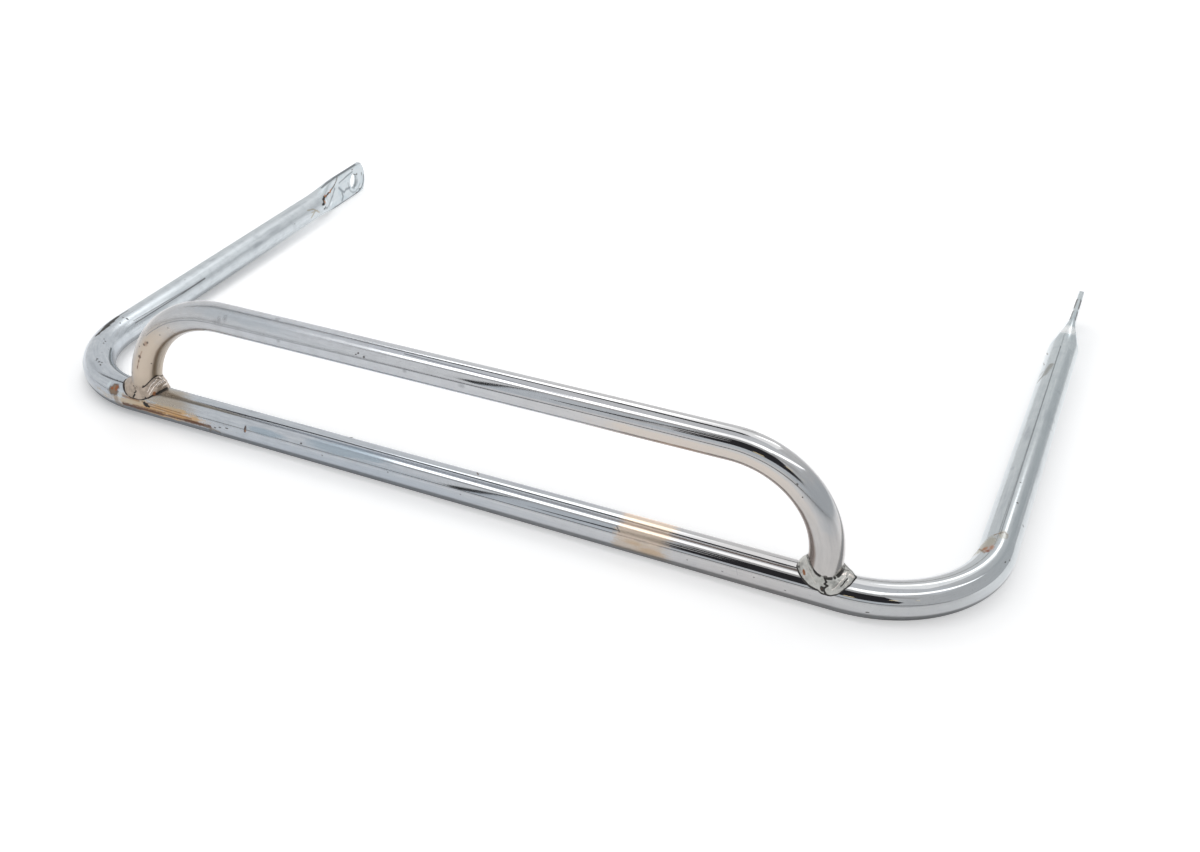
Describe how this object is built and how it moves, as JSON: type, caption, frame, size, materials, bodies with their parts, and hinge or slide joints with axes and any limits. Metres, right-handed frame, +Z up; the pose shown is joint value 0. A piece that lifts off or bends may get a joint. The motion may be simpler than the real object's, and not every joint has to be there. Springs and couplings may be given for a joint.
{
  "type": "spoiler bar",
  "caption": "Plated steel tube bar bent into a wide U, with flattened drilled arm ends and a low hoop welded upright on its front run, for bolting round a small vehicle body.",
  "frame": {"origin": "on the floor, under the centre of the bar's bounding box, as it lies at rest", "axes": "+X along the front bar, to the right seen from the front; +Y back along the arms; +Z up from the floor"},
  "size_m": [0.5092, 0.3222, 0.0715],
  "materials": {
    "plated_tube": "chrome plate with haze, stains and pitting",
    "plated_hoop": "chrome plate, bright, with a warm tint at the feet",
    "plated_weld": "dull plated weld bead with dark cracks"
  },
  "bodies": {
    "root": {"main_tube": "plated_tube", "hoop_tube": "plated_hoop", "weld_left": "plated_weld", "weld_right": "plated_weld"}
  },
  "joints": []
}
